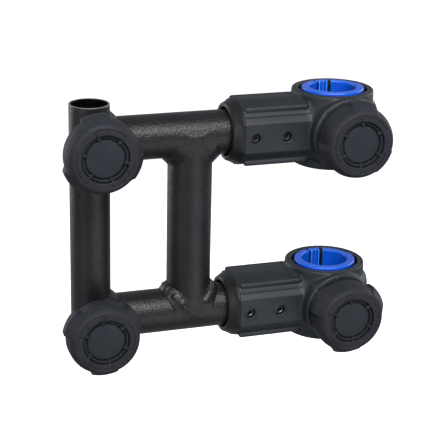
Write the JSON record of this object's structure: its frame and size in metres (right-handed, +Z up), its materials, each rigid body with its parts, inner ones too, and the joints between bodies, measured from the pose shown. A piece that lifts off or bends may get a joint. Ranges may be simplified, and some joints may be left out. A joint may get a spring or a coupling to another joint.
{
  "type": "offset pole arm with leg clamps",
  "caption": "Welded tube arm that clamps to a round chair or seat-box leg and holds an umbrella pole in an upright receiver, with hand knobs and slotted reducer sleeves.",
  "frame": {"origin": "on the leg axis at the middle height of the lower leg clamp, which is the height of the lower horizontal tube", "axes": "+Z up along the leg and the pole receiver, +X from the receiver towards the leg, -Y the side that all four knobs face"},
  "size_m": [0.2119, 0.0797, 0.1664],
  "materials": {
    "powder_coat": "fine textured black powder coat",
    "weld_coat": "black powder coat over lumpy weld bead",
    "clamp_nylon": "satin moulded glass-filled nylon, blue-black",
    "collar_plastic": "semi-gloss black moulding",
    "black_steel": "black oxide",
    "zinc_steel": "bright zinc",
    "blue_nylon": "satin translucent-looking bright blue nylon",
    "grip_rubber": "soft-touch matte blue-black",
    "hub_nylon": "moulded black",
    "cap_plastic": "fine satin blue-black",
    "shoe_nylon": "natural nylon"
  },
  "bodies": {
    "frame": {"receiver_tube": "powder_coat", "upper_tube": "powder_coat", "lower_tube": "powder_coat", "strut_tube": "powder_coat", "weld_receiver_upper": "weld_coat", "weld_receiver_lower": "weld_coat", "weld_strut_upper": "weld_coat", "weld_strut_lower": "weld_coat", "weld_boss_upper": "weld_coat", "weld_boss_lower": "weld_coat", "boss_upper": "powder_coat", "boss_lower": "powder_coat", "clamp_body_upper": "clamp_nylon", "clamp_body_lower": "clamp_nylon", "collar_upper": "collar_plastic", "collar_lower": "collar_plastic", "set_screws_upper": "black_steel", "set_screws_lower": "black_steel", "clamp_nut_upper": "zinc_steel", "clamp_nut_lower": "zinc_steel"},
    "leg_insert_upper": {"insert_upper": "blue_nylon"},
    "leg_insert_lower": {"insert_lower": "blue_nylon"},
    "shoe_pole_upper": {"knob_tip_pole_upper": "shoe_nylon"},
    "knob_pole_upper": {"knob_grip_pole_upper": "grip_rubber", "knob_hub_pole_upper": "hub_nylon", "knob_cap_pole_upper": "cap_plastic", "knob_stud_pole_upper": "zinc_steel"},
    "shoe_pole_lower": {"knob_tip_pole_lower": "shoe_nylon"},
    "knob_pole_lower": {"knob_grip_pole_lower": "grip_rubber", "knob_hub_pole_lower": "hub_nylon", "knob_cap_pole_lower": "cap_plastic", "knob_stud_pole_lower": "zinc_steel"},
    "shoe_leg_upper": {"knob_tip_leg_upper": "shoe_nylon"},
    "knob_leg_upper": {"knob_grip_leg_upper": "grip_rubber", "knob_hub_leg_upper": "hub_nylon", "knob_cap_leg_upper": "cap_plastic", "knob_stud_leg_upper": "zinc_steel"},
    "shoe_leg_lower": {"knob_tip_leg_lower": "shoe_nylon"},
    "knob_leg_lower": {"knob_grip_leg_lower": "grip_rubber", "knob_hub_leg_lower": "hub_nylon", "knob_cap_leg_lower": "cap_plastic", "knob_stud_leg_lower": "zinc_steel"}
  },
  "joints": [
    {"name": "insert_upper_lift_out", "type": "slide", "parent": "frame", "child": "leg_insert_upper", "axis": [0, 0, 1], "range_m": [0, 0.05]},
    {"name": "insert_lower_lift_out", "type": "slide", "parent": "frame", "child": "leg_insert_lower", "axis": [0, 0, 1], "range_m": [0, 0.05]},
    {"name": "shoe_pole_upper_advance", "type": "slide", "parent": "frame", "child": "shoe_pole_upper", "axis": [0, 1, 0], "range_m": [-0.00501, 0.00251]},
    {"name": "knob_pole_upper_turn", "type": "hinge", "parent": "shoe_pole_upper", "child": "knob_pole_upper", "pos_m": [-0.158, -0.021, 0.116], "axis": [0, 1, 0], "range_deg": [-1440, 720]},
    {"name": "shoe_pole_lower_advance", "type": "slide", "parent": "frame", "child": "shoe_pole_lower", "axis": [0, 1, 0], "range_m": [-0.00501, 0.00251]},
    {"name": "knob_pole_lower_turn", "type": "hinge", "parent": "shoe_pole_lower", "child": "knob_pole_lower", "pos_m": [-0.158, -0.021, 0], "axis": [0, 1, 0], "range_deg": [-1440, 720]},
    {"name": "shoe_leg_upper_advance", "type": "slide", "parent": "frame", "child": "shoe_leg_upper", "axis": [0, 1, 0], "range_m": [-0.00501, 0.00126]},
    {"name": "knob_leg_upper_turn", "type": "hinge", "parent": "shoe_leg_upper", "child": "knob_leg_upper", "pos_m": [0, -0.03, 0.116], "axis": [0, 1, 0], "range_deg": [-1440, 360]},
    {"name": "shoe_leg_lower_advance", "type": "slide", "parent": "frame", "child": "shoe_leg_lower", "axis": [0, 1, 0], "range_m": [-0.00501, 0.00126]},
    {"name": "knob_leg_lower_turn", "type": "hinge", "parent": "shoe_leg_lower", "child": "knob_leg_lower", "pos_m": [0, -0.03, 0], "axis": [0, 1, 0], "range_deg": [-1440, 360]}
  ],
  "couplings": [
    {"joint": "shoe_pole_upper_advance", "follows": "knob_pole_upper_turn", "m_per_rad": 0.00019894},
    {"joint": "shoe_pole_lower_advance", "follows": "knob_pole_lower_turn", "m_per_rad": 0.00019894},
    {"joint": "shoe_leg_upper_advance", "follows": "knob_leg_upper_turn", "m_per_rad": 0.00019894},
    {"joint": "shoe_leg_lower_advance", "follows": "knob_leg_lower_turn", "m_per_rad": 0.00019894}
  ]
}
